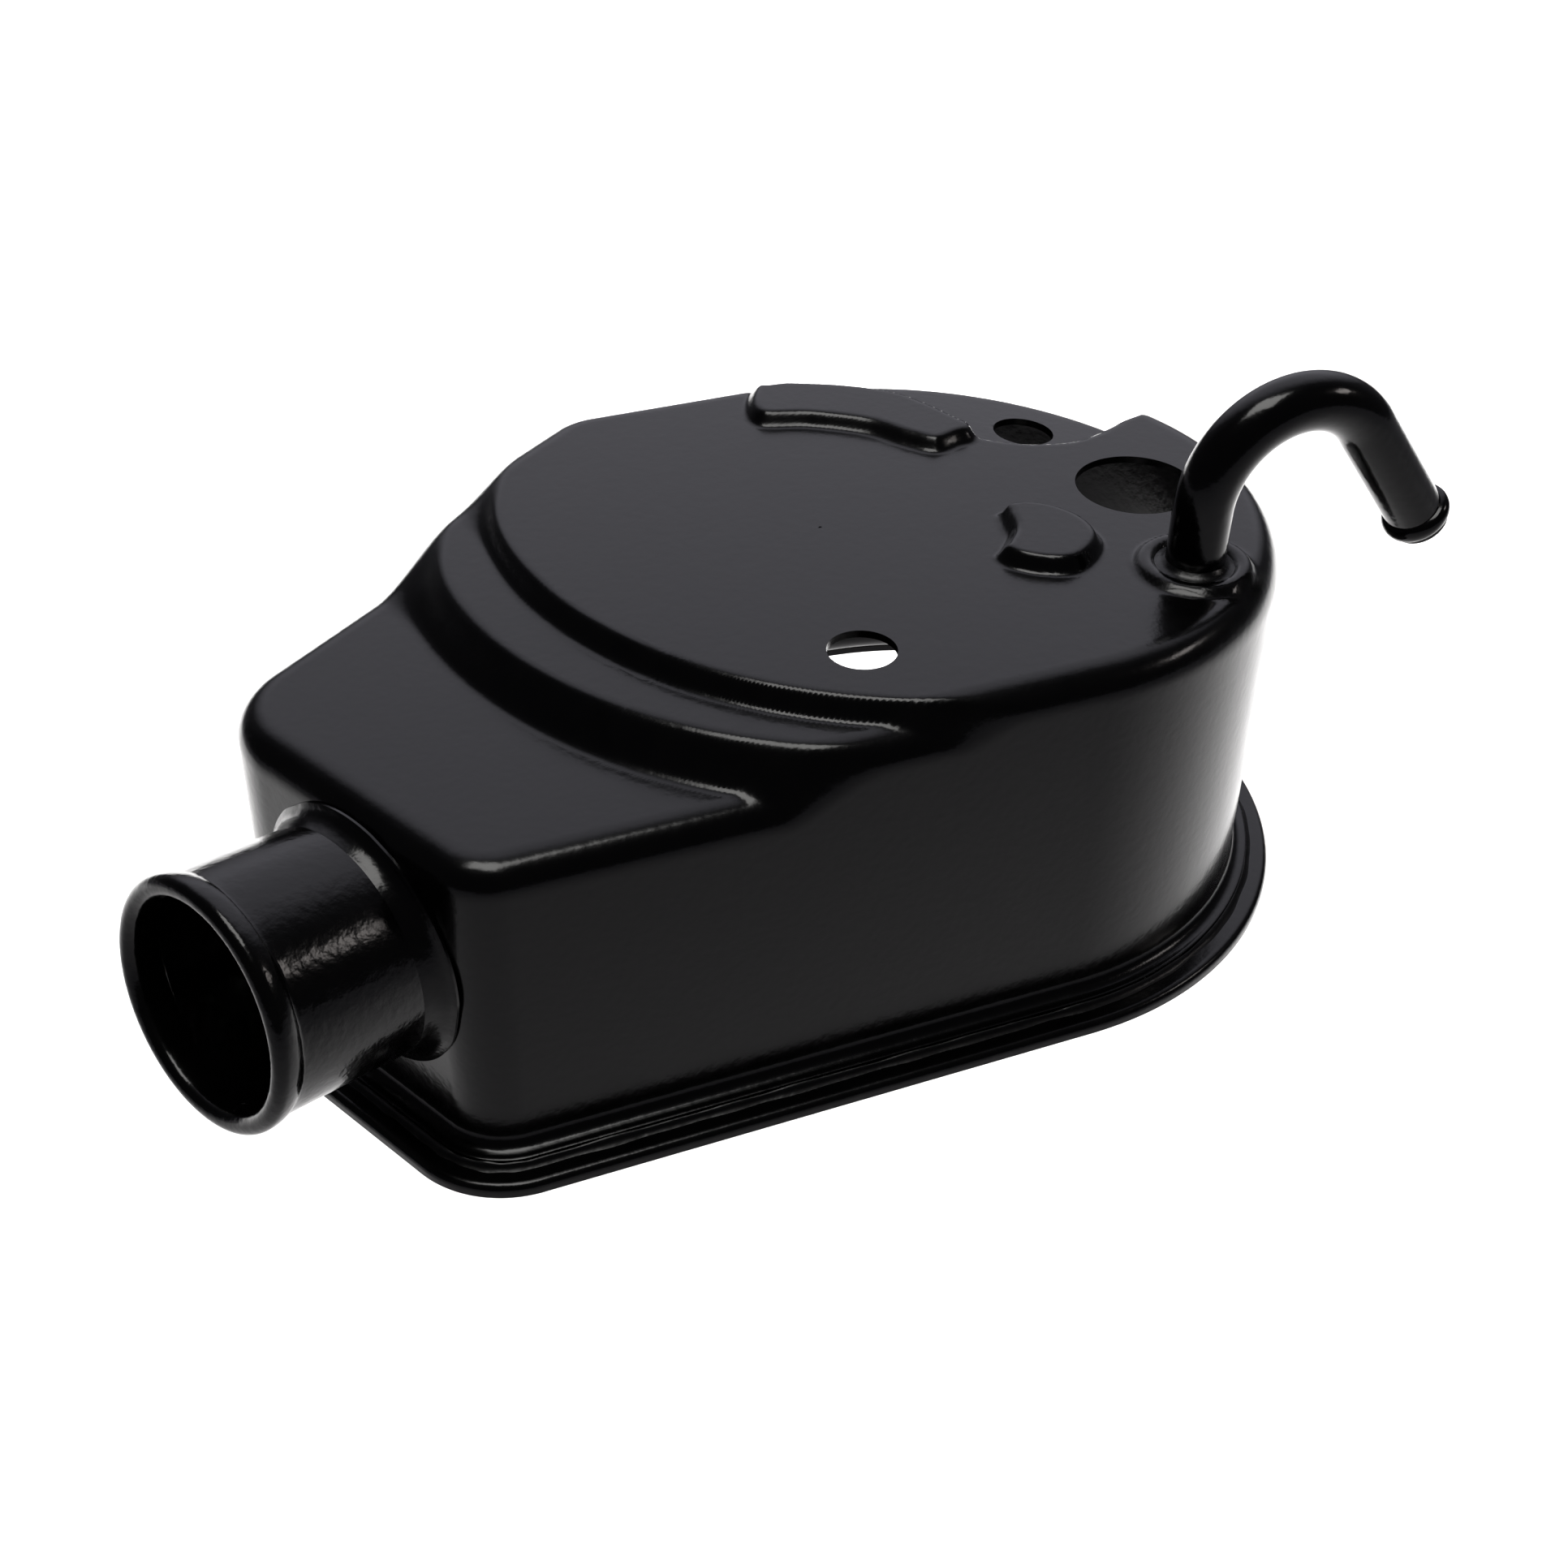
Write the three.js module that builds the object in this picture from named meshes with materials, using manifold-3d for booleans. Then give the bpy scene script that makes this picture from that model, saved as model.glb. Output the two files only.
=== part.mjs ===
// Power steering pump reservoir: a deep-drawn sheet steel can with a tapering arm, on a flanged
// front plate whose round mouth slips over the pump. A filler neck is brazed into the arm's end
// wall and a hooked return tube into the rear face. Millimetres, +Z up. The part lies on its
// front plate, rear face up.
import * as THREE from "three";
import { mergeVertices } from "three/addons/utils/BufferGeometryUtils.js";
import Module from "manifold-3d";

const wasm = await Module();
wasm.setup();

// ---------- driving dimensions ----------
const SHEET = 1.3; // thickness of the drawn steel
const GAP = 0.3; // clearance that touching pieces keep

// Plan outline: a round can whose two tangent sides run out into the arm. Each wall is a line at
// `reach` from the can's axis, facing `facing` degrees, and the corner before it has `corner`.
const CAN_RADIUS = 57;
const WALLS = [
  { facing: 90, reach: CAN_RADIUS, corner: 0 },
  { facing: 126, reach: 76.3, corner: 14 },
  { facing: 204.5, reach: 118.4, corner: 18 },
  { facing: 270, reach: CAN_RADIUS, corner: 11 },
];
const END_WALL = WALLS[2];

// Heights above the rest plane
const SEAM_Z = 2.6; // where the can's foot meets the front plate
const FACE_Z = 68.5; // rear face
const TERRACE_Z = FACE_Z - 3.6; // the step between the arm and the rear face
const ARM_Z = FACE_Z - 10.3; // arm's top
const CRESCENT_Z = FACE_Z + 2.4; // raised crescent along the far rim
const PAD_Z = FACE_Z + 2.8; // raised pad beside the fitting hole
const LEDGE_Z = FACE_Z - 2.35; // sunk ledge round the second stud hole, where it crosses x = 0
const LEDGE_SLOPE = -0.086; // and its rise per millimetre of x
const EDGE_RADIUS = 5.2; // rounding between the walls and the tops

// Edge and foot circles of the two steps, as centre and radius
const FACE_EDGE = { x: -2.6, y: 14.5, r: 72.1 };
const FACE_FOOT = { x: -6.7, y: 10.4, r: 68.7 };
const TERRACE_EDGE = { x: -15.6, y: 10.6, r: 70.4 };
const TERRACE_FOOT = { x: -7, y: 14.9, r: 86.1 };

// Pressed areas of the rear face, as closed smooth outlines through these points
const CRESCENT = [
  [-20.5, 45], [-19.6, 38.6], [-11.4, 35.2], [-3, 29.2], [1.4, 22.8], [6, 17.8], [11.5, 18.6],
  [17, 21.5], [24, 40], [10, 58], [-4, 61], [-15, 54],
];
const LEDGE = [
  [-15.5, 51.5], [-9, 49], [-0.1, 44.6], [7.3, 38.8], [10.9, 32.4], [13.3, 26], [16, 20.6],
  [21.3, 16.2], [26.7, 13.9], [32.9, 13], [39.5, 14.8], [46.2, 17.6], [53, 19.6],
  [62, 24], [56, 48], [34, 68], [6, 74], [-16, 66],
];
const PAD = [
  [-1.4, -19.4], [-0.2, -23.4], [4, -27.2], [9.4, -28.8], [14.8, -26.2], [18.6, -21.4], [18.8, -15],
  [15.8, -9.2], [11, -5.8], [6.4, -5.8], [4.8, -9.2], [3.6, -13.6], [0.8, -17],
];

// Foot of the can and the wider front plate below it, as offsets from the outline
const FOOT_OUT = 3;
const FOOT_FILLET = 2.4;
const PLATE_OUT = 7.3;
const PLATE_TOP = SEAM_Z - GAP;
const LIP_RADIUS = 1.3; // the plate's rim is turned down to the rest plane
const MOUTH_RADIUS = 58.5; // round opening that takes the pump's body

// Holes in the rear face
const STUD_HOLES = [
  { x: -33.3, y: -36.6, r: 5.6 },
  { x: 30.1, y: 28.6, r: 5.7 },
];
const FITTING_HOLE = { x: 34.1, y: -5, r: 10.6 };

// Filler neck, which leaves the end wall square in plan and rises by `tilt` degrees. `sideways` is
// measured along the wall from the foot of its normal, and lengths from the wall's outer skin.
const NECK = {
  tilt: 7.3, radius: 19.5, wall: 1.4, root: -4.6, length: 30.6, z: 34.2, sideways: 16.7,
};
const RIM = { radius: 20.4, roll: 1.7, skirt: 6, skirtRadius: 17 };
const SLOT = { width: 9, depth: 3.2, turn: 35 }; // takes the cap's tabs, in two opposite places

// Return tube: straight up, over a bend in the XZ plane, and straight down to a beaded end
const TUBE = {
  x: 28.7, y: -33.3, radius: 4.95, wall: 1, root: -5, rise: 10.6, bend: 16.5, turn: 143, run: 26.5,
};
const TUBE_BEAD = { radius: 5.95, edge: 0.3, from: 4.2, to: 1.2 };
const TUBE_BOSS = { inner: 6.7, outer: 10.4, height: 1.4 };

// Braze fillets
const NECK_BRAZE = { width: 2.4, height: 3.8 };
const TUBE_BRAZE = 1.4;
const SEAM_BRAZE = 1.2;

// ---------- helpers ----------
const rad = THREE.MathUtils.degToRad;
const toward = (degrees) => new THREE.Vector2(Math.cos(rad(degrees)), Math.sin(rad(degrees)));

// The point at `reachA` from the axis along one wall's facing and at `reachB` along the other's.
function crossing(facingA, reachA, facingB, reachB) {
  const a = toward(facingA);
  const b = toward(facingB);
  const det = a.x * b.y - a.y * b.x;
  return new THREE.Vector2((reachA * b.y - reachB * a.y) / det, (a.x * reachB - b.x * reachA) / det);
}

// The plan outline grown by `offset`, counter-clockwise: the can's half circle, then the corners.
function outline(offset) {
  const points = [];
  const arc = (centre, radius, from, to, step) => {
    const steps = Math.ceil((to - from) / step);
    for (let i = 0; i <= steps; i++)
      points.push(centre.clone().addScaledVector(toward(from + ((to - from) * i) / steps), radius));
  };
  arc(new THREE.Vector2(), CAN_RADIUS + offset, -90, 90, 7.5);
  WALLS.slice(1).forEach((wall, i) => {
    const before = WALLS[i];
    const centre = crossing(
      before.facing, before.reach - wall.corner, wall.facing, wall.reach - wall.corner);
    arc(centre, wall.corner + offset, before.facing, wall.facing, 12);
  });
  return points;
}

const circle = ({ x, y, r }, steps = 32) =>
  Array.from({ length: steps }, (_, i) =>
    new THREE.Vector2(x, y).addScaledVector(toward((360 * i) / steps), r));

function solid(geometry) {
  const bare = geometry.clone();
  bare.deleteAttribute("normal");
  bare.deleteAttribute("uv");
  const merged = mergeVertices(bare, 1e-4);
  return new wasm.Manifold(new wasm.Mesh({
    numProp: 3,
    vertProperties: merged.attributes.position.array,
    triVerts: new Uint32Array(merged.index.array),
  }));
}

function geometryOf(body) {
  const mesh = body.getMesh();
  return new THREE.BufferGeometry()
    .setAttribute("position", new THREE.BufferAttribute(mesh.vertProperties, 3))
    .setIndex(new THREE.BufferAttribute(mesh.triVerts, 1));
}

// A solid through a stack of convex level rings [points, z], from low to high. Rings run
// counter-clockwise and have equal numbers of points.
function stack(...rings) {
  const count = rings[0][0].length;
  const positions = rings.flatMap(([points, z]) => points.flatMap((p) => [p.x, p.y, z]));
  const index = [];
  for (let k = 0; k + 1 < rings.length; k++)
    for (let i = 0; i < count; i++) {
      const j = (i + 1) % count;
      const [a, b, c, d] = [k * count + i, k * count + j, (k + 1) * count + j, (k + 1) * count + i];
      index.push(a, b, c, a, c, d);
    }
  const top = (rings.length - 1) * count;
  for (let i = 1; i + 1 < count; i++) index.push(0, i + 1, i, top, top + i, top + i + 1);
  return solid(new THREE.BufferGeometry()
    .setAttribute("position", new THREE.Float32BufferAttribute(positions, 3))
    .setIndex(index));
}

const plug = (hole, low, high) => stack([circle(hole), low], [circle(hole), high]);

// A ring turned round Z from a closed profile of [radius, z] points, listed counter-clockwise.
function turned(profile, segments = 48) {
  const points = [...profile, profile[0]].map(([r, z]) => new THREE.Vector2(r, z));
  return new THREE.LatheGeometry(points, segments).rotateX(Math.PI / 2);
}

// An upright column on a closed smooth outline, grown by `grow`.
function column(outlinePoints, low, high, grow = 0) {
  const curve = new THREE.CatmullRomCurve3(
    outlinePoints.map(([x, y]) => new THREE.Vector3(x, y, 0)), true);
  const shape = new THREE.Shape(curve.getPoints(44).slice(0, -1).map((p) => new THREE.Vector2(p.x, p.y)));
  const edge = 0.5;
  const geometry = new THREE.ExtrudeGeometry(shape, {
    depth: high - low - 2 * edge,
    bevelThickness: edge, bevelSize: edge, bevelOffset: grow - edge, bevelSegments: 1,
  });
  return solid(geometry.translate(0, 0, low + edge));
}

// ---------- rear shell ----------
// Everything under a top at `z` with rounded edges, taken `inset` inside the outer skin.
function level(z, bottom, inset) {
  const radius = EDGE_RADIUS - inset;
  const rounding = [0, 18, 36, 54, 72, 90].map((tilt) => [
    outline(-inset - radius * (1 - Math.cos(rad(tilt)))),
    z - inset - radius * (1 - Math.sin(rad(tilt))),
  ]);
  return stack([outline(-inset), bottom], ...rounding);
}

// The sloping step: everything inside the circle that shrinks from foot to edge.
function step(edge, foot, high, low, inset) {
  const ring = (c) => circle({ ...c, r: c.r - inset }, 72);
  return stack(
    [ring(foot), low - inset - 4 * SHEET],
    [ring(foot), low - inset],
    [ring(edge), high - inset],
    [ring(edge), high + EDGE_RADIUS],
  );
}

// The can's form, `inset` inside the outer skin: the arm, the terrace and the rear face, with
// the face's raised and sunk areas.
function canForm(bottom, inset) {
  const middle = ARM_Z - 2 * EDGE_RADIUS;
  const sky = PAD_Z + EDGE_RADIUS;
  const terrace = level(TERRACE_Z, middle, inset)
    .intersect(step(TERRACE_EDGE, TERRACE_FOOT, TERRACE_Z, ARM_Z, inset));
  const face = level(FACE_Z, middle, inset)
    .intersect(step(FACE_EDGE, FACE_FOOT, FACE_Z, TERRACE_Z, inset));
  const crescent = level(CRESCENT_Z, middle, inset)
    .intersect(column(CRESCENT, middle + SHEET, sky, -inset));
  const pad = column(PAD, middle + SHEET, PAD_Z - inset, -inset);
  const sunk = column(LEDGE, middle + SHEET, sky, inset);
  const slant = new THREE.Matrix4().makeShear(0, LEDGE_SLOPE, 0, 0, 0, 0);
  const ledge = level(LEDGE_Z, middle - EDGE_RADIUS, inset).transform(slant.elements)
    .intersect(column(LEDGE, middle, sky, inset + SHEET));
  const raised = level(ARM_Z, bottom, inset).add(terrace).add(face).add(crescent).add(pad);
  return raised.subtract(sunk).add(ledge);
}

// The foot that flares out from the wall onto the front plate, `inset` inside the outer skin.
function footFlare(inset) {
  const radius = FOOT_FILLET + inset;
  const fillet = [90, 67.5, 45, 22.5, 0].map((turn) => [
    outline(FOOT_FILLET - radius * Math.cos(rad(turn))),
    SEAM_Z + SHEET + FOOT_FILLET - radius * Math.sin(rad(turn)),
  ]);
  const rim = outline(FOOT_OUT);
  return inset ? stack(...fillet) : stack([rim, SEAM_Z], [rim, SEAM_Z + SHEET], ...fillet);
}

function rearShell() {
  const { x, y, radius } = TUBE;
  const { inner, outer, height } = TUBE_BOSS;
  const boss = turned([
    [inner, -SHEET], [outer, -SHEET], [outer, 0.2 * height], [outer - 1.2, 0.8 * height],
    [(inner + outer) / 2, height], [inner + 0.7, 0.8 * height], [inner, 0.2 * height],
  ]).translate(x, y, FACE_Z);
  let body = canForm(SEAM_Z, 0).add(footFlare(0)).add(solid(boss));
  body = body.subtract(canForm(SEAM_Z - SHEET, SHEET)).subtract(footFlare(SHEET));
  for (const hole of [...STUD_HOLES, FITTING_HOLE, { x, y, r: radius + GAP }])
    body = body.subtract(plug(hole, ARM_Z - EDGE_RADIUS, FACE_Z + EDGE_RADIUS));
  return geometryOf(body.subtract(neckHole()));
}

// ---------- front plate ----------
function frontPlate() {
  const rounding = [0, 30, 60, 90].map((tilt) => [
    outline(PLATE_OUT - LIP_RADIUS * (1 - Math.cos(rad(tilt)))),
    PLATE_TOP - LIP_RADIUS * (1 - Math.sin(rad(tilt))),
  ]);
  const underside = outline(PLATE_OUT - SHEET);
  const mouth = circle({ x: 0, y: 0, r: MOUTH_RADIUS }, 64);
  const body = stack([outline(PLATE_OUT), 0], ...rounding)
    .subtract(stack([underside, -SHEET], [underside, PLATE_TOP - SHEET]))
    .subtract(stack([mouth, -SHEET], [mouth, SEAM_Z]));
  return geometryOf(body);
}

function seamBraze() {
  const inside = outline(FOOT_OUT + GAP);
  const ring = stack(
    [outline(FOOT_OUT + GAP + SEAM_BRAZE), SEAM_Z],
    [outline(FOOT_OUT + GAP + 0.4 * SEAM_BRAZE), SEAM_Z + 0.4 * SEAM_BRAZE],
    [outline(FOOT_OUT + GAP + 0.2 * SEAM_BRAZE), SEAM_Z + SEAM_BRAZE],
  );
  return geometryOf(ring.subtract(stack([inside, 0], [inside, SEAM_Z + 2 * SEAM_BRAZE])));
}

// ---------- filler neck ----------
// Puts a piece that was made round Z, with Z = 0 at the end wall's skin, at the neck's place, with
// its Z pointing out of the wall and `tilt` degrees up.
function neckPlace(tilt, geometry) {
  const root = crossing(END_WALL.facing, END_WALL.reach, END_WALL.facing - 90, NECK.sideways);
  const up = new THREE.Vector3(0, 0, 1);
  const outward = new THREE.Vector3(toward(END_WALL.facing).x, toward(END_WALL.facing).y, 0);
  const place = new THREE.Matrix4().makeBasis(up.clone().cross(outward), up, outward);
  return geometry.rotateX(-rad(tilt)).applyMatrix4(place.setPosition(root.x, root.y, NECK.z));
}

const neckHole = () => {
  const radius = NECK.radius + GAP;
  return solid(neckPlace(NECK.tilt,
    new THREE.CylinderGeometry(radius, radius, 4 * EDGE_RADIUS, 56).rotateX(Math.PI / 2)));
};

function fillerNeck() {
  const { radius, wall, root, length } = NECK;
  const { radius: rim, roll, skirt, skirtRadius } = RIM;
  const bore = radius - wall;
  // outside of the tube, over the rolled rim, down the skirt inside it, and back up the bore
  const neck = solid(turned([
    [bore, root], [radius, root], [radius, length - 2.4 * roll], [rim - 0.3 * roll, length - 2 * roll],
    [rim, length - roll], [rim - 0.3 * roll, length - 0.3 * roll], [rim - roll, length],
    [skirtRadius + 0.5 * roll, length - 0.1 * roll], [skirtRadius, length - 0.6 * roll],
    [skirtRadius, length - skirt], [skirtRadius + 1, length - skirt], [bore, length - skirt + 1],
  ], 56));
  const slots = [0, 180].map((half) =>
    solid(new THREE.BoxGeometry(SLOT.width, SLOT.depth, 3 * skirt)
      .translate(0, bore - 1, length).rotateZ(rad(SLOT.turn + half))));
  return neckPlace(NECK.tilt, geometryOf(slots.reduce((body, slot) => body.subtract(slot), neck)));
}

// The fillet lies flat against the wall, and the tilted neck passes through it.
function neckBraze() {
  const { width, height } = NECK_BRAZE;
  const inner = NECK.radius + GAP;
  const fillet = neckPlace(0, turned([
    [inner - width, GAP], [inner + width, GAP], [inner + 0.4 * width, GAP + 0.4 * height],
    [inner + 0.15 * width, GAP + height], [inner - width, GAP + height],
  ]));
  return geometryOf(solid(fillet).subtract(neckHole()));
}

// ---------- return tube ----------
// The tube's centre line, from under the rear face to its open end.
class Hook extends THREE.Curve {
  getPoint(t) {
    const { x, y, root, rise, bend, turn, run } = TUBE;
    const straight = rise - root;
    const round = bend * rad(turn);
    const along = t * (straight + round + run);
    if (along < straight) return new THREE.Vector3(x, y, FACE_Z + root + along);
    const angle = Math.min((along - straight) / bend, rad(turn));
    const point = new THREE.Vector3(
      x + bend * (1 - Math.cos(angle)), y, FACE_Z + rise + bend * Math.sin(angle));
    const left = Math.max(along - straight - round, 0);
    return point.add(new THREE.Vector3(Math.sin(angle), 0, Math.cos(angle)).multiplyScalar(left));
  }
}

function returnTube() {
  const { radius, wall, turn } = TUBE;
  const section = new THREE.Shape().absarc(0, 0, radius, 0, 2 * Math.PI);
  section.holes.push(new THREE.Path().absarc(0, 0, radius - wall, 0, 2 * Math.PI));
  const hook = new Hook();
  const tube = solid(new THREE.ExtrudeGeometry(section, {
    steps: 36, curveSegments: 10, extrudePath: hook,
  }));
  const { radius: outer, edge, from, to } = TUBE_BEAD;
  const bead = turned([
    [radius - wall / 2, -from], [radius, -from], [outer - edge, -from + edge],
    [outer, -from + 3 * edge], [outer, -to - 3 * edge], [outer - edge, -to - edge],
    [radius, -to], [radius - wall / 2, -to],
  ]).rotateY(rad(turn)).translate(...hook.getPoint(1).toArray());
  return geometryOf(tube.add(solid(bead)));
}

function tubeBraze() {
  const inner = TUBE.radius + GAP;
  const outer = TUBE_BOSS.inner - GAP;
  return turned([
    [inner, GAP], [outer, GAP], [outer, GAP + 0.3 * TUBE_BRAZE], [inner, GAP + TUBE_BRAZE],
  ]).translate(TUBE.x, TUBE.y, FACE_Z);
}

// ---------- assembly ----------
const PAINT = new THREE.MeshStandardMaterial({ color: 0x15151a, roughness: 0.3, metalness: 0.3 });

const assembly = new THREE.Group();
function piece(name, geometry) {
  const mesh = new THREE.Mesh(geometry, PAINT.clone());
  mesh.name = name;
  assembly.add(mesh);
}

piece("rear_shell", rearShell());
piece("front_plate", frontPlate());
piece("seam_braze", seamBraze());
piece("filler_neck", fillerNeck());
piece("neck_braze", neckBraze());
piece("return_tube", returnTube());
piece("tube_braze", tubeBraze());

// The origin is the middle of the footprint, on the rest plane.
const middle = new THREE.Box3().setFromObject(assembly).getCenter(new THREE.Vector3());
assembly.position.set(-middle.x, -middle.y, 0);
const part = new THREE.Group();
part.add(assembly);

export default part;
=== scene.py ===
# Looks of the power steering pump reservoir. Lengths are millimetres from the can's axis and from
# the rest plane until `build` turns them into metres in the part's frame.
import math

import bpy
import numpy as np
from mathutils import Matrix, Vector


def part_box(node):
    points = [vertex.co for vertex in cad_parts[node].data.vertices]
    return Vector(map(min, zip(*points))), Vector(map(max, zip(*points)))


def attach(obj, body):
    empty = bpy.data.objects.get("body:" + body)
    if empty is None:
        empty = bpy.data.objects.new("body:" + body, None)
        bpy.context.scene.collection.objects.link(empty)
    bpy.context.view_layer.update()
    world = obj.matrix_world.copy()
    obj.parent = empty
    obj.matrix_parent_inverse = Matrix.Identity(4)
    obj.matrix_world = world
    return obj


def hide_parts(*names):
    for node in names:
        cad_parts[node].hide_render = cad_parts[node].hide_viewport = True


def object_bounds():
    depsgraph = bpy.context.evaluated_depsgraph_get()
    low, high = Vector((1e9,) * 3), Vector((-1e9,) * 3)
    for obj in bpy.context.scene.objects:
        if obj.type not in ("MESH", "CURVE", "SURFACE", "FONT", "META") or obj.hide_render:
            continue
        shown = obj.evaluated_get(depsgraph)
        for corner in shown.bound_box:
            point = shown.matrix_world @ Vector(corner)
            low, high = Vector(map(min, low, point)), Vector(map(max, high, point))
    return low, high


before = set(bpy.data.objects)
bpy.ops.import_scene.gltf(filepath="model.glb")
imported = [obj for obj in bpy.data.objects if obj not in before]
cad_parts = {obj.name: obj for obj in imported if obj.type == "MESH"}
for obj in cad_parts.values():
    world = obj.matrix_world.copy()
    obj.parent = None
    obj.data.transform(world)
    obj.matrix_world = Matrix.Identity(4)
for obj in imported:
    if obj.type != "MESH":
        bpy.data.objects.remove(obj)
CAD_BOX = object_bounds()

# ---------- where the part lies ----------
MM = 1000  # millimetres in a metre
GAP = 0.3  # clearance that the part's touching pieces keep
TUBE = dict(
    x=28.7, y=-33.3, radius=4.95, wall=1, root=-5, rise=10.6, bend=16.5, turn=143, run=26.5)
FILLET_LOW, FILLET_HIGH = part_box("tube_braze")
AXIS = (FILLET_LOW + FILLET_HIGH) / 2 - Vector((TUBE["x"], TUBE["y"], 0)) / MM
FACE_Z = FILLET_LOW.z * MM - GAP  # rear face

# ---------- dimensions, as in the part ----------
SHEET = 1.3  # thickness of the drawn steel
CAN_RADIUS = 57
WALLS = [(90, 57, 0), (126, 76.3, 14), (204.5, 118.4, 18), (270, 57, 11)]  # facing, reach, corner
FAR_WALL, END_WALL = WALLS[1], WALLS[2]
SEAM_Z = 2.6
TERRACE_Z = FACE_Z - 3.6
ARM_Z = FACE_Z - 10.3
EDGE_RADIUS = 5.2
CRESCENT_RISE, CRESCENT_SIDE = 2.4, 3  # height, and width of the sloping side in plan
PAD_RISE, PAD_SIDE = 2.8, 2.6
LEDGE_DROP, LEDGE_SIDE = 2.35, 4.4
LEDGE_SLOPE = -0.086  # rise of the ledge's floor per millimetre of x
STEP_WIDTH = 3  # narrowest that a step's slope gets in plan
FAR_SOFTENING, FAR_REACH = 8, 9  # extra width of a step at the far wall, and how far in it fades
# Edge and foot circles of the two steps, as x, y, radius
FACE_EDGE, FACE_FOOT = (-2.6, 14.5, 72.1), (-6.7, 10.4, 68.7)
TERRACE_EDGE, TERRACE_FOOT = (-15.6, 10.6, 70.4), (-7, 14.9, 86.1)
# Pressed areas of the rear face, as closed smooth outlines through these points
CRESCENT = [(-20.5, 45), (-19.6, 38.6), (-11.4, 35.2), (-3, 29.2), (1.4, 22.8), (6, 17.8),
            (11.5, 18.6), (17, 21.5), (24, 40), (10, 58), (-4, 61), (-15, 54)]
LEDGE = [(-15.5, 51.5), (-9, 49), (-0.1, 44.6), (7.3, 38.8), (10.9, 32.4), (13.3, 26),
         (16, 20.6), (21.3, 16.2), (26.7, 13.9), (32.9, 13), (39.5, 14.8), (46.2, 17.6),
         (53, 19.6), (62, 24), (56, 48), (34, 68), (6, 74), (-16, 66)]
PAD = [(-1.4, -19.4), (-0.2, -23.4), (4, -27.2), (9.4, -28.8), (14.8, -26.2), (18.6, -21.4),
       (18.8, -15), (15.8, -9.2), (11, -5.8), (6.4, -5.8), (4.8, -9.2), (3.6, -13.6), (0.8, -17)]
FOOT_OUT = 3
FOOT_FILLET = 2.4
PLATE_OUT = 7.3
PLATE_TOP = SEAM_Z - GAP
LIP_RADIUS = 1.3
MOUTH_RADIUS = 58.5
HOLES = [(-33.3, -36.6, 5.6), (30.1, 28.6, 5.7), (34.1, -5, 10.6)]  # x, y, radius
NECK = dict(tilt=7.3, radius=19.5, wall=1.4, root=-4.6, length=30.45, z=34.2, sideways=16.7)
RIM = dict(radius=20.3, roll=1.7, skirt=6, skirt_radius=16.8)
SLOT = dict(turn=125, half_width=14, side=1.5)  # the two opposed slots in the skirt, in degrees
TUBE_BEAD = dict(radius=5.95, start=4.2, end=1.2)
TUBE_BOSS = dict(inner=6.7, outer=10.4, height=1.4, outer_side=1.5, inner_side=1.2)
NECK_BRAZE = dict(width=2.9, height=4.2)
TUBE_BRAZE = 1.4
SEAM_BRAZE = 1.2

# Points round the can's half circle, each corner and each straight wall
CAN_POINTS, CORNER_POINTS, WALL_POINTS = 180, 40, 90
# Rings of the shell: on the tops, round their edges, down the walls and round the foot
TOP_RINGS, EDGE_RINGS, WALL_RINGS, FOOT_RINGS = 120, 12, 60, 9
PLATE_RINGS, LIP_RINGS = 14, 8
TOP_CENTRE = (-24, 1)  # where the tops' rings shrink to, clear of every hole
SMALLEST_RING = 0.004  # as a share of the largest
BURR = dict(width=0.15, height=0.1)  # bevel on the foot's rim
PLATE_LIFT = 0.02  # keeps the plate's rim off the rest plane
TURN_POINTS = 360  # round the neck, a point every degree
FILLET_POINTS = 160
TUBE_POINTS = 48
SHARP_TURNED_EDGE = 40
SHARP_EDGE = 35  # edges that turn by more degrees than this stay crisp
SHARP_SHEET_EDGE = 62
AWAY = 1e3  # put between a hole's axis and points that the hole doesn't reach


# ---------- plane geometry ----------
def toward(degrees):
    return np.array([math.cos(math.radians(degrees)), math.sin(math.radians(degrees))])


def crossing(facing_a, reach_a, facing_b, reach_b):
    return np.linalg.solve(np.array([toward(facing_a), toward(facing_b)]), [reach_a, reach_b])


def outline(offset):
    """The plan outline grown by `offset`: the same number of points whatever the offset."""
    arcs = [(np.zeros(2), CAN_RADIUS, -90, 90, CAN_POINTS)]
    for before, wall in zip(WALLS[:-1], WALLS[1:]):
        centre = crossing(before[0], before[1] - wall[2], wall[0], wall[1] - wall[2])
        arcs.append((centre, wall[2], before[0], wall[0], CORNER_POINTS))
    runs = []
    for centre, radius, start, end, count in arcs:
        turns = np.radians(np.linspace(start, end, count))[:, None]
        runs.append(centre + (radius + offset) * np.hstack([np.cos(turns), np.sin(turns)]))
    points = []
    for i, run in enumerate(runs):
        following = runs[(i + 1) % len(runs)][0]
        straight = np.linspace(0, 1, WALL_POINTS + 2)[1:-1, None]
        points += [run, run[-1] + (following - run[-1]) * straight]
    return np.vstack(points)


def smooth_curve(points, per=14):
    """A closed Catmull-Rom curve through the points."""
    p = np.array(points, float)
    t = np.linspace(0, 1, per, endpoint=False)[:, None]
    a, b, c, d = np.roll(p, 1, 0), p, np.roll(p, -1, 0), np.roll(p, -2, 0)
    rows = [0.5 * (2 * b[i] + (c[i] - a[i]) * t + (2 * a[i] - 5 * b[i] + 4 * c[i] - d[i]) * t ** 2
                   + (3 * b[i] - a[i] - 3 * c[i] + d[i]) * t ** 3) for i in range(len(p))]
    return np.vstack(rows)


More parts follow.
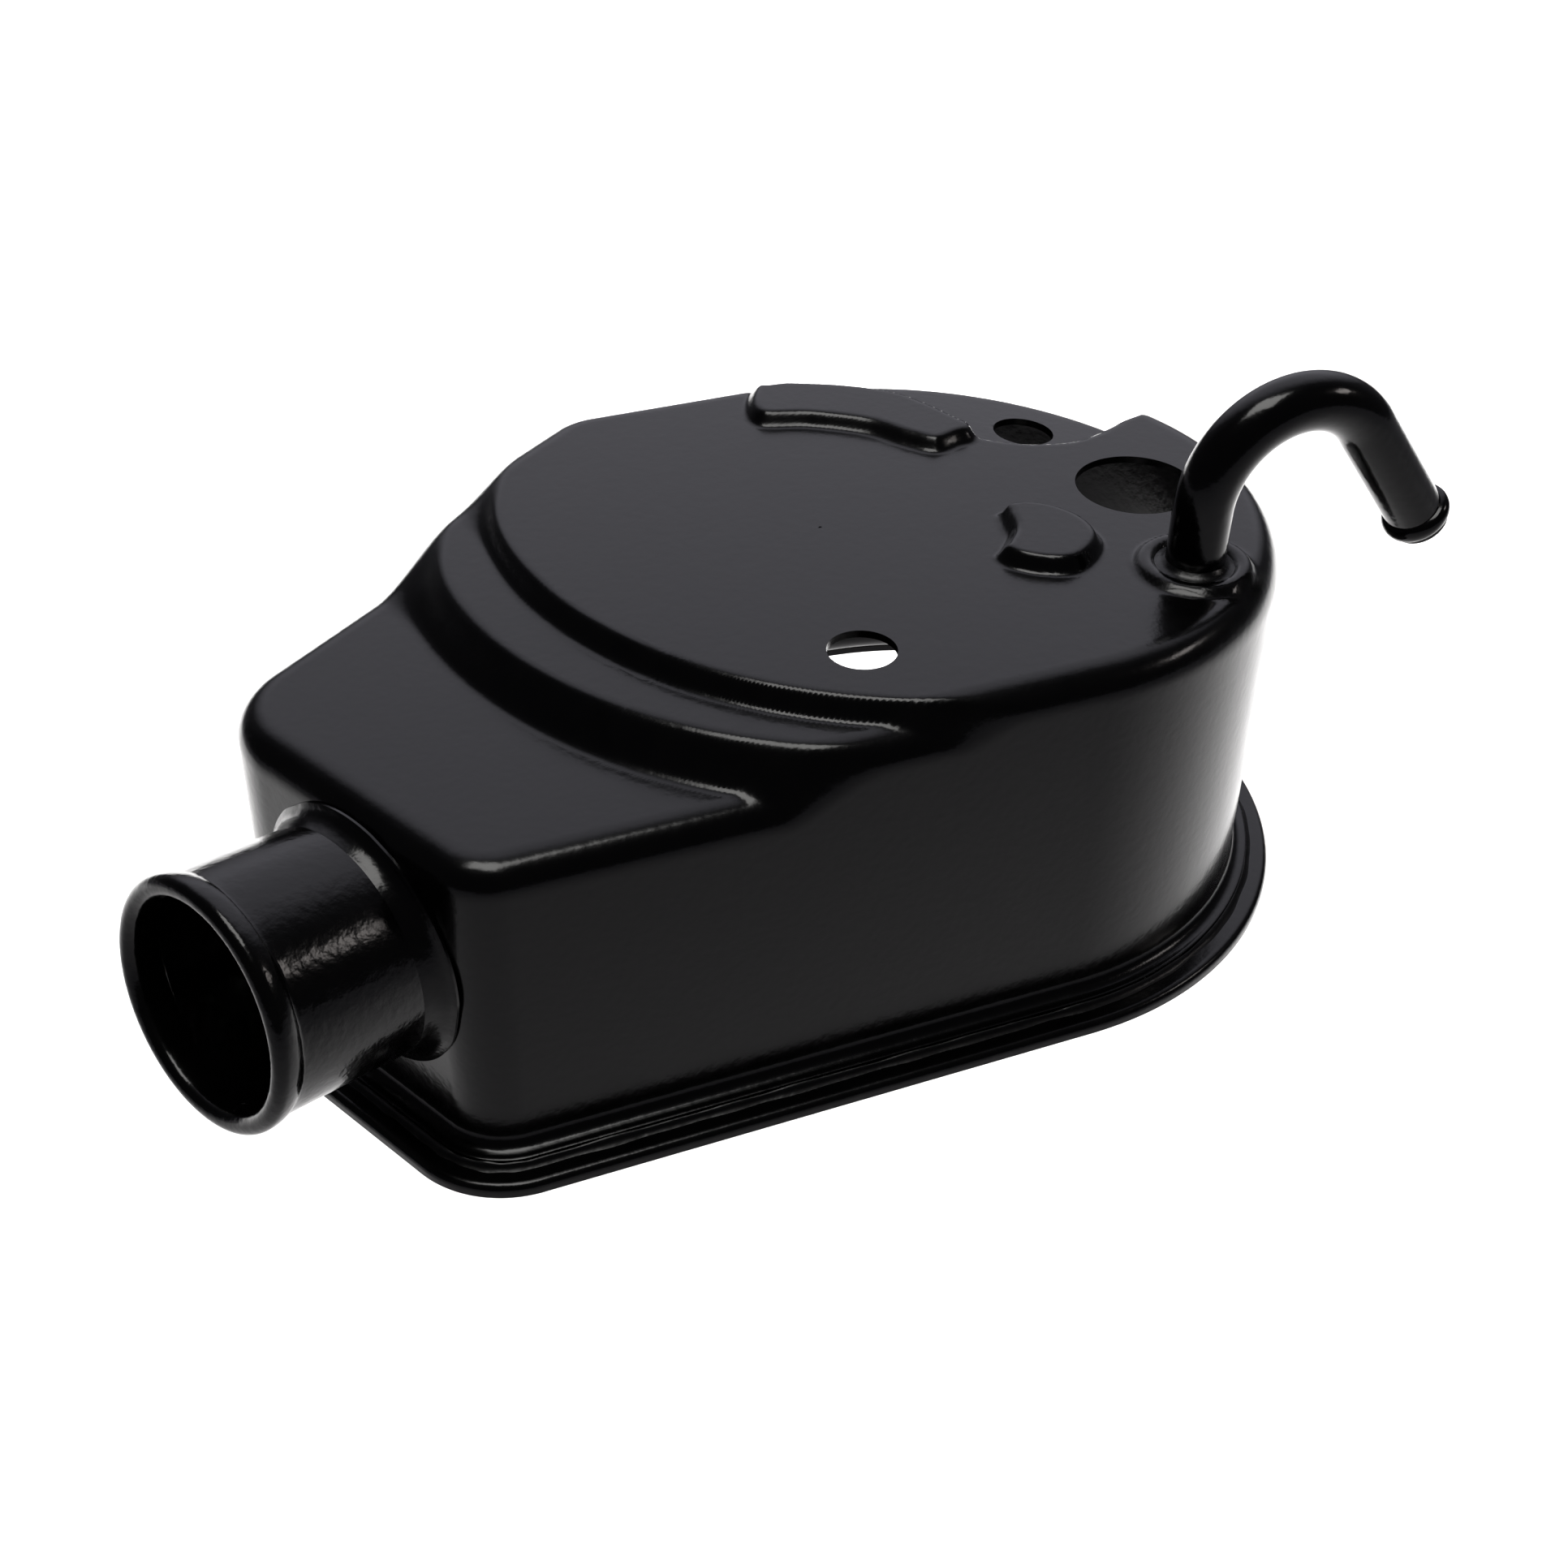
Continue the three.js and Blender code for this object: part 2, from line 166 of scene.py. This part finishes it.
def depth_inside(xy, points):
    """How far each place lies inside the closed curve; negative outside."""
    curve = smooth_curve(points)
    nearest = np.full(len(xy), 1e9)
    inside = np.zeros(len(xy), bool)
    for a, b in zip(curve, np.roll(curve, -1, 0)):
        along = b - a
        t = np.clip(((xy - a) @ along) / (along @ along), 0, 1)[:, None]
        nearest = np.minimum(nearest, np.linalg.norm(xy - a - t * along, axis=1))
        straddles = (a[1] > xy[:, 1]) != (b[1] > xy[:, 1])
        rise = along[1] if along[1] else 1e-12
        inside ^= straddles & (xy[:, 0] < a[0] + (xy[:, 1] - a[1]) * along[0] / rise)
    return np.where(inside, nearest, -nearest)


def ease(u):
    u = np.clip(u, 0, 1)
    return u * u * (3 - 2 * u)


def fall(xy, edge, foot):
    """0 on the upper side of a step, 1 on its lower side. The step softens by the far wall."""
    past_edge = np.hypot(xy[:, 0] - edge[0], xy[:, 1] - edge[1]) - edge[2]
    past_foot = np.hypot(xy[:, 0] - foot[0], xy[:, 1] - foot[1]) - foot[2]
    depth = FAR_WALL[1] - xy @ toward(FAR_WALL[0])
    extra = FAR_SOFTENING * np.exp(-(np.maximum(depth, 0) / FAR_REACH) ** 2)
    width = np.maximum(past_edge - past_foot, STEP_WIDTH) + extra
    return ease((past_edge + extra / 2) / width)


def top_height(xy):
    z = FACE_Z - (FACE_Z - TERRACE_Z) * fall(xy, FACE_EDGE, FACE_FOOT)
    z -= (TERRACE_Z - ARM_Z) * fall(xy, TERRACE_EDGE, TERRACE_FOOT)
    z += CRESCENT_RISE * ease(depth_inside(xy, CRESCENT) / CRESCENT_SIDE)
    z += PAD_RISE * ease(depth_inside(xy, PAD) / PAD_SIDE)
    sunk = ease(depth_inside(xy, LEDGE) / LEDGE_SIDE)
    z = z * (1 - sunk) + (FACE_Z - LEDGE_DROP + LEDGE_SLOPE * xy[:, 0]) * sunk
    out = np.hypot(xy[:, 0] - TUBE["x"], xy[:, 1] - TUBE["y"])
    ring = ease((TUBE_BOSS["outer"] - out) / TUBE_BOSS["outer_side"])
    ring *= ease((out - TUBE_BOSS["inner"] + 0.5) / TUBE_BOSS["inner_side"])
    return z + TUBE_BOSS["height"] * ring


# ---------- meshes ----------
def build(name, points, faces, sharp=SHARP_EDGE):
    """A mesh object from points in millimetres about the can's axis."""
    place = np.array(points) / MM + np.array([AXIS.x, AXIS.y, 0])
    mesh = bpy.data.meshes.new(name)
    mesh.from_pydata([tuple(p) for p in place], [], faces)
    mesh.validate()
    mesh.shade_smooth()
    mesh.set_sharp_from_angle(angle=math.radians(sharp))
    piece = bpy.data.objects.new(name, mesh)
    bpy.context.scene.collection.objects.link(piece)
    return piece


def grid(rows, closed_rows=False):
    """The points of rings of equal length and the faces between them. `closed_rows` joins the last
    ring to the first."""
    count = len(rows[0])
    faces = []
    last = len(rows) if closed_rows else len(rows) - 1
    for k in range(last):
        low, high = k * count, ((k + 1) % len(rows)) * count
        for i in range(count):
            j = (i + 1) % count
            faces.append((low + i, low + j, high + j, high + i))
    return np.vstack(rows), faces


def ring_at(offset, z):
    """The outline grown by `offset`, as a level ring."""
    points = outline(offset)
    return np.column_stack([points, np.full(len(points), z)])


def thicken(piece, thickness):
    """Gives a sheet its thickness, on the inner side."""
    change = piece.modifiers.new("thickness", "SOLIDIFY")
    change.thickness = thickness / MM
    change.offset = -1
    shown = piece.evaluated_get(bpy.context.evaluated_depsgraph_get())
    solid = bpy.data.meshes.new_from_object(shown)
    piece.modifiers.clear()
    piece.data = solid
    solid.shade_smooth()
    solid.set_sharp_from_angle(angle=math.radians(SHARP_SHEET_EDGE))


def cut_round(points, faces, across, radius):
    """Leaves out the faces inside a round hole and puts the hole's edge on its circle.
    `across` gives each point's offset from the hole's axis, as a vector."""
    offset = across(points)
    far = np.linalg.norm(offset, axis=1)
    kept, edge = [], {}
    for face in faces:
        inside = far[list(face)].mean() < radius
        if not inside:
            kept.append(face)
        for i in face:
            edge.setdefault(i, set()).add(inside)
    for i, sides in edge.items():
        if len(sides) == 2:
            points[i] += offset[i] * (radius / far[i] - 1)
    return kept


# ---------- rear shell ----------
def neck_frame(tilt):
    """The neck's place: its X along the wall, its Y up and its Z out of the wall."""
    facing, reach = END_WALL[:2]
    plan = crossing(facing, reach, facing - 90, NECK["sideways"])
    out = np.array([*toward(facing), 0.0])
    up = np.array([0, 0, 1.0])
    slope = math.radians(tilt)
    axis = out * math.cos(slope) + up * math.sin(slope)
    upright = up * math.cos(slope) - out * math.sin(slope)
    return np.array([*plan, NECK["z"]]), np.cross(up, out), upright, axis


def rear_shell():
    """The skin from the middle of the tops to the foot's rim, pierced, then thickened inwards."""
    rows = []
    centre = np.array(TOP_CENTRE)
    inner = outline(-EDGE_RADIUS)
    for k in np.linspace(SMALLEST_RING, 1, TOP_RINGS):
        xy = centre + (inner - centre) * k
        rows.append(np.column_stack([xy, top_height(xy)]))
    for turn in np.radians(np.linspace(90, 0, EDGE_RINGS))[1:]:
        xy = outline(-EDGE_RADIUS * (1 - math.cos(turn)))
        rows.append(np.column_stack([xy, top_height(xy) - EDGE_RADIUS * (1 - math.sin(turn))]))
    top = rows[-1]
    foot = SEAM_Z + SHEET + FOOT_FILLET
    for k in np.linspace(0, 1, WALL_RINGS)[1:]:
        ring = top.copy()
        ring[:, 2] = top[:, 2] + (foot - top[:, 2]) * k
        rows.append(ring)
    for turn in np.radians(np.linspace(0, 90, FOOT_RINGS))[1:]:
        rows.append(ring_at(FOOT_FILLET * (1 - math.cos(turn)), foot - FOOT_FILLET * math.sin(turn)))
    rows.append(ring_at(FOOT_OUT - BURR["width"], SEAM_Z + SHEET))
    rows.append(ring_at(FOOT_OUT, SEAM_Z + SHEET - BURR["height"]))
    points, faces = grid(rows)
    faces = [face[::-1] for face in faces]
    for x, y, radius in HOLES + [(TUBE["x"], TUBE["y"], TUBE["radius"] + GAP)]:
        def across(p, x=x, y=y):
            offset = (p - [x, y, 0]) * [1, 1, 0]
            offset[p[:, 2] < ARM_Z - EDGE_RADIUS] += AWAY
            return offset
        faces = cut_round(points, faces, across, radius)
    origin, _, _, axis = neck_frame(NECK["tilt"])

    def about_neck(p):
        along = (p - origin) @ axis
        offset = p - origin - along[:, None] * axis
        offset[np.abs(along) > 12] += AWAY
        return offset
    faces = cut_round(points, faces, about_neck, NECK["radius"] + GAP)
    piece = build("shell_of_drawn_steel", points, faces)
    thicken(piece, SHEET)
    return piece


# ---------- front plate and seam ----------
def front_plate():
    """A flat ring from the round mouth to the outline, with its rim turned down."""
    rim = outline(PLATE_OUT - LIP_RADIUS)
    mouth = rim / np.linalg.norm(rim, axis=1)[:, None] * MOUTH_RADIUS
    rows = [np.column_stack([mouth + (rim - mouth) * k, np.full(len(rim), PLATE_TOP)])
            for k in np.linspace(0, 1, PLATE_RINGS)]
    for turn in np.radians(np.linspace(90, 0, LIP_RINGS))[1:]:
        rows.append(ring_at(PLATE_OUT - LIP_RADIUS * (1 - math.cos(turn)),
                            PLATE_TOP - LIP_RADIUS * (1 - math.sin(turn))))
    rows.append(ring_at(PLATE_OUT, PLATE_LIFT))
    points, faces = grid(rows)
    piece = build("plate_of_pressed_steel", points, [face[::-1] for face in faces])
    thicken(piece, SHEET)
    return piece


def seam_braze():
    """An uneven fillet round the foot's rim."""
    inner = outline(FOOT_OUT)
    count = len(inner)
    wave = np.arange(count) * 2 * math.pi / count
    uneven = 0.06 * (np.sin(23 * wave) + np.sin(41 * wave + 1) + np.sin(67 * wave + 2)) - 0.1
    rows = []
    for out, up in ((0, 0), (1, 0), (0.72, 0.14), (0.46, 0.34), (0.28, 0.6), (0.17, 0.88), (0, 0.95)):
        points = outline(FOOT_OUT + SEAM_BRAZE * out)
        xy = inner + (points - inner) * (1 + uneven)[:, None]
        rows.append(np.column_stack([xy, PLATE_TOP + SEAM_BRAZE * up * (1 + uneven)]))
    points, faces = grid(rows, closed_rows=True)
    return build("seam_fillet", points, faces)


def lathe(profile, origin, x_axis, y_axis, z_axis, count):
    """A closed profile turned round an axis. `profile(angle)` gives rows of [radius, height]."""
    turns = np.linspace(0, 2 * math.pi, count, endpoint=False)
    sections = np.array([profile(t) for t in turns])
    ring = np.cos(turns)[:, None] * x_axis + np.sin(turns)[:, None] * y_axis
    rows = [origin + sections[:, k, :1] * ring + sections[:, k, 1:] * z_axis
            for k in range(sections.shape[1])]
    return grid(rows, closed_rows=True)


X, Y, Z = np.eye(3)


# ---------- filler neck ----------
def neck_section(turn):
    """The neck's wall at one turn: the tube, the rolled rim, and the skirt that rises as a cam."""
    radius, bore, length = NECK["radius"], NECK["radius"] - NECK["wall"], NECK["length"]
    rim, roll, lip = RIM["radius"], RIM["roll"], RIM["skirt_radius"]
    past_slot = (math.degrees(turn) - SLOT["turn"]) % 180
    from_slot = min(past_slot, 180 - past_slot)
    way_round = past_slot / 180
    open_slot = 1 - ease(np.array((from_slot - SLOT["half_width"]) / SLOT["side"]))
    skirt = RIM["skirt"] - 1.6 + 1.6 * math.sin(math.pi * way_round) ** 2
    lip = lip + (bore - 0.1 - lip) * open_slot
    rows = [(bore, NECK["root"] + 0.3), (bore + 0.4, NECK["root"]), (radius - 0.3, NECK["root"]),
            (radius, NECK["root"] + 0.3), (radius, 2), (radius, length / 2), (radius, length - 6)]
    rows += [(radius, length - 5.4), (radius + 0.04, length - 4.9)]
    for angle in np.radians(np.linspace(-56, 175, 26)):
        drop = roll * math.sin(angle) * (2 if angle < 0 else 1)
        rows.append((rim - roll + roll * math.cos(angle), length - roll + drop))
    rows += [(lip, length - roll - 0.4), (lip, length - 3), (lip, length - skirt + 0.2),
             (lip + 0.2, length - skirt), (bore - 0.05, length - skirt), (bore, length - skirt - 0.3),
             (bore, length / 2), (bore, 2)]
    return rows


def filler_neck():
    origin, x_axis, y_axis, z_axis = neck_frame(NECK["tilt"])
    points, faces = lathe(neck_section, origin, x_axis, y_axis, z_axis, TURN_POINTS)
    return build("neck_with_rolled_rim", points, faces, SHARP_TURNED_EDGE)


def neck_braze():
    """A flared fillet that lies flat on the wall; its bore follows the tilted neck."""
    origin, x_axis, y_axis, z_axis = neck_frame(0)
    width, height = NECK_BRAZE["width"], NECK_BRAZE["height"]
    inner = NECK["radius"]
    lean = math.tan(math.radians(NECK["tilt"]))

    def section(turn):
        uneven = 1 + 0.05 * math.sin(5 * turn) + 0.04 * math.sin(13 * turn + 1)
        rows = []
        for out, rise in ((0, 0), (1, 0), (1, 0.1), (0.97, 0.12), (0.74, 0.18), (0.52, 0.29),
                          (0.34, 0.45), (0.2, 0.64), (0.1, 0.82), (0.03, 0.96), (0, 1)):
            shift = rise * height * lean * math.sin(turn)
            rows.append((inner + shift + out * width * min(uneven, 1), rise * height))
        return rows
    points, faces = lathe(section, origin, x_axis, y_axis, z_axis, FILLET_POINTS)
    return build("neck_fillet", points, faces)


# ---------- return tube ----------
def tube_line(along):
    """The tube's centre, its direction and the side that faces out of the bend."""
    straight = TUBE["rise"] - TUBE["root"]
    bent = TUBE["bend"] * math.radians(TUBE["turn"])
    angle = min(max((along - straight) / TUBE["bend"], 0), math.radians(TUBE["turn"]))
    centre = np.array([TUBE["x"] + TUBE["bend"] * (1 - math.cos(angle)), TUBE["y"],
                       FACE_Z + TUBE["rise"] + TUBE["bend"] * math.sin(angle)])
    direction = np.array([math.sin(angle), 0, math.cos(angle)])
    centre = centre + direction * (min(along - straight, 0) + max(along - straight - bent, 0))
    return centre, direction, np.array([-math.cos(angle), 0, math.sin(angle)])


def return_tube():
    """Rings along the outside, over the bead and the open end, and back down the bore."""
    total = TUBE["rise"] - TUBE["root"] + TUBE["bend"] * math.radians(TUBE["turn"]) + TUBE["run"]
    outer, bore = TUBE["radius"], TUBE["radius"] - TUBE["wall"]
    bead_middle = total - (TUBE_BEAD["start"] + TUBE_BEAD["end"]) / 2
    bead_half = (TUBE_BEAD["start"] - TUBE_BEAD["end"]) / 2
    stations = [*np.linspace(0.3, total - 5, 110), *np.linspace(total - 4.8, total - 0.3, 34)]
    rings = [(0, outer - 0.3)]
    for along in stations:
        reach = max(1 - ((along - bead_middle) / bead_half) ** 2, 0)
        rings.append((along, outer + (TUBE_BEAD["radius"] - outer) * reach ** 0.5))
    rings += [(total - 0.08, outer - 0.1), (total, outer - 0.3), (total, bore + 0.2),
              (total - 0.2, bore)]
    rings += [(along, bore) for along in stations[::-1][3:]] + [(0, bore)]
    turns = np.linspace(0, 2 * math.pi, TUBE_POINTS, endpoint=False)[:, None]
    rows = []
    for along, radius in rings:
        centre, _, side = tube_line(along)
        rows.append(centre + radius * (np.cos(turns) * side + np.sin(turns) * Y))
    points, faces = grid(rows, closed_rows=True)
    return build("hooked_tube", points, faces, SHARP_TURNED_EDGE)


def tube_braze():
    """A small ring of braze between the tube and its boss."""
    inner, outer = TUBE["radius"], TUBE_BOSS["inner"] - 0.05

    def section(turn):
        height = TUBE_BRAZE * (0.94 + 0.06 * math.sin(4 * turn + 1))
        return [(inner, -0.2), (outer, -0.2), (outer, GAP + 0.25 * height),
                (inner + 0.6 * (outer - inner), GAP + 0.36 * height),
                (inner + 0.3 * (outer - inner), GAP + 0.6 * height), (inner, GAP + height)]
    origin = np.array([TUBE["x"], TUBE["y"], FACE_Z])
    points, faces = lathe(section, origin, X, Y, Z, 96)
    return build("tube_fillet", points, faces)


# ---------- materials ----------
BLACK, WORN_BLACK = (0.0005, 0.0005, 0.0006), (0.0014, 0.0013, 0.0014)


def paint(name, smooth, rough, peel, seed):
    """Sprayed black paint: a mottled colour, an uneven gloss and a fine orange peel."""
    material = bpy.data.materials.new(name)
    material.use_nodes = True
    nodes, links = material.node_tree.nodes, material.node_tree.links
    shader = nodes["Principled BSDF"]
    shader.inputs["IOR"].default_value = 1.5
    place = nodes.new("ShaderNodeTexCoord")
    shift = nodes.new("ShaderNodeMapping")
    shift.inputs["Location"].default_value = (seed, 0.7 * seed, 0.3 * seed)
    links.new(place.outputs["Object"], shift.inputs["Vector"])

    def noise(scale, detail):
        node = nodes.new("ShaderNodeTexNoise")
        node.inputs["Scale"].default_value = scale
        node.inputs["Detail"].default_value = detail
        links.new(shift.outputs["Vector"], node.inputs["Vector"])
        return node.outputs["Fac"]

    tone = nodes.new("ShaderNodeValToRGB")
    tone.color_ramp.elements[0].position = 0.35
    tone.color_ramp.elements[0].color = (*BLACK, 1)
    tone.color_ramp.elements[1].position = 0.68
    tone.color_ramp.elements[1].color = (*WORN_BLACK, 1)
    links.new(noise(220, 5), tone.inputs["Fac"])
    links.new(tone.outputs["Color"], shader.inputs["Base Color"])
    gloss = nodes.new("ShaderNodeMapRange")
    gloss.inputs["To Min"].default_value = smooth
    gloss.inputs["To Max"].default_value = rough
    links.new(noise(130, 4), gloss.inputs["Value"])
    links.new(gloss.outputs["Result"], shader.inputs["Roughness"])
    fine = nodes.new("ShaderNodeBump")
    fine.inputs["Strength"].default_value = peel
    fine.inputs["Distance"].default_value = 0.00012
    links.new(noise(650, 2), fine.inputs["Height"])
    links.new(fine.outputs["Normal"], shader.inputs["Normal"])
    return material


PIECES = [
    (rear_shell, "rear_shell", paint("paint_shell", 0.13, 0.24, 0.3, 1.0)),
    (front_plate, "front_plate", paint("paint_plate", 0.14, 0.26, 0.35, 2.3)),
    (seam_braze, "seam_braze", paint("paint_seam", 0.25, 0.42, 0.7, 3.1)),
    (filler_neck, "filler_neck", paint("paint_neck", 0.12, 0.22, 0.6, 4.7)),
    (neck_braze, "neck_braze", paint("paint_neck_fillet", 0.13, 0.24, 0.5, 5.9)),
    (return_tube, "return_tube", paint("paint_tube", 0.1, 0.18, 0.25, 6.2)),
    (tube_braze, "tube_braze", paint("paint_tube_fillet", 0.2, 0.34, 0.6, 7.4)),
]

for make, node, material in PIECES:
    piece = make()
    piece.data.materials.clear()
    piece.data.materials.append(material)
    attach(piece, "root")
    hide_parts(node)


# ---------- stage ----------
def stage_floor():
    """A pale floor so far below the part that its shadow falls out of sight."""
    mesh = bpy.data.meshes.new("studio_floor")
    half, depth = 9, -0.5
    mesh.from_pydata([(-half, -half, depth), (half, -half, depth), (half, half, depth),
                      (-half, half, depth)], [], [(0, 1, 2, 3)])
    floor = bpy.data.objects.new("studio_floor", mesh)
    bpy.context.scene.collection.objects.link(floor)
    material = bpy.data.materials.new("floor_white")
    material.use_nodes = True
    nodes, links = material.node_tree.nodes, material.node_tree.links
    shader = nodes["Principled BSDF"]
    shader.inputs["Roughness"].default_value = 0.9
    shader.inputs["Specular IOR Level"].default_value = 0
    speck = nodes.new("ShaderNodeTexNoise")
    speck.inputs["Scale"].default_value = 3
    tone = nodes.new("ShaderNodeValToRGB")
    tone.color_ramp.elements[0].color = (0.88, 0.87, 0.86, 1)
    tone.color_ramp.elements[1].color = (0.92, 0.91, 0.90, 1)
    links.new(speck.outputs["Fac"], tone.inputs["Fac"])
    links.new(tone.outputs["Color"], shader.inputs["Base Color"])
    mesh.materials.append(material)


def studio_sky():
    """A dark room with one wide soft glow, high on the side that the rear face mirrors."""
    world = bpy.data.worlds.new("studio")
    bpy.context.scene.world = world
    world.use_nodes = True
    nodes, links = world.node_tree.nodes, world.node_tree.links
    background = nodes["Background"]
    place = nodes.new("ShaderNodeTexCoord")
    towards = nodes.new("ShaderNodeVectorMath")
    towards.operation = "DOT_PRODUCT"
    towards.inputs[1].default_value = (0.34, 0.72, 0.605)
    links.new(place.outputs["Generated"], towards.inputs[0])
    ramp = nodes.new("ShaderNodeValToRGB")
    stops = [(0.0, 0.03), (0.5, 0.035), (0.72, 0.08), (0.84, 0.5), (0.92, 0.8), (1.0, 0.82)]
    colours = ramp.color_ramp
    while len(colours.elements) < len(stops):
        colours.elements.new(0.5)
    for element, (nearness, bright) in zip(colours.elements, stops):
        element.position = nearness
        element.color = (bright * 0.96, bright * 0.95, bright * 1.06, 1)
    links.new(towards.outputs["Value"], ramp.inputs["Fac"])
    links.new(ramp.outputs["Color"], background.inputs["Color"])
    background.inputs["Strength"].default_value = 0.85


def soft_box(name, direction, distance, size, watts, tint):
    """A light panel that faces the part from `direction`, and shows in its paint."""
    light = bpy.data.lights.new(name, "AREA")
    light.shape = "RECTANGLE"
    light.size, light.size_y = size
    light.energy = watts
    light.color = tint
    lamp = bpy.data.objects.new(name, light)
    out = Vector(direction).normalized()
    middle = (CAD_BOX[0] + CAD_BOX[1]) / 2
    lamp.location = middle + out * distance
    lamp.rotation_euler = out.to_track_quat("Z", "Y").to_euler()
    bpy.context.scene.collection.objects.link(lamp)


def ground_box():
    """Lights the floor behind the part, and shows in no reflection."""
    light = bpy.data.lights.new("ground_box", "AREA")
    light.shape = "RECTANGLE"
    light.size, light.size_y = 4, 3.4
    light.energy = 120
    light.spread = math.radians(70)
    lamp = bpy.data.objects.new("ground_box", light)
    lamp.location = (0.81, 1.92, 1.2)
    lamp.rotation_euler = (0, 0, math.radians(-23.5))
    lamp.visible_glossy = False
    lamp.visible_camera = False
    bpy.context.scene.collection.objects.link(lamp)


def camera():
    """Looks down on the near side, over the neck."""
    data = bpy.data.cameras.new("camera")
    data.sensor_fit = "HORIZONTAL"
    data.sensor_width = 36
    data.lens = 48.946
    data.shift_x = 0.00364
    data.clip_end = 60
    view = bpy.data.objects.new("camera", data)
    forward = Vector((0.320648, 0.738953, -0.592565)).normalized()
    right = Vector((0.922295, -0.386084, 0.017608))
    right = (right - right.dot(forward) * forward).normalized()
    up = right.cross(forward)
    turn = Matrix((right, up, -forward)).transposed().to_4x4()
    place = Vector((-0.15604 + AXIS.x, -0.28786 + AXIS.y, (179.251 + FACE_Z) / MM))
    view.matrix_world = Matrix.Translation(place) @ turn
    bpy.context.scene.collection.objects.link(view)
    bpy.context.scene.camera = view


stage_floor()
studio_sky()
soft_box("side_box", (0.785, -0.34, 0.5), 1.5, (0.3, 0.2), 0.75, (1, 0.93, 0.9))
soft_box("top_box", (-0.1, -0.1, 1), 1.5, (0.9, 0.6), 7, (1, 0.99, 0.97))
ground_box()
camera()
bpy.context.scene.view_settings.view_transform = "Standard"
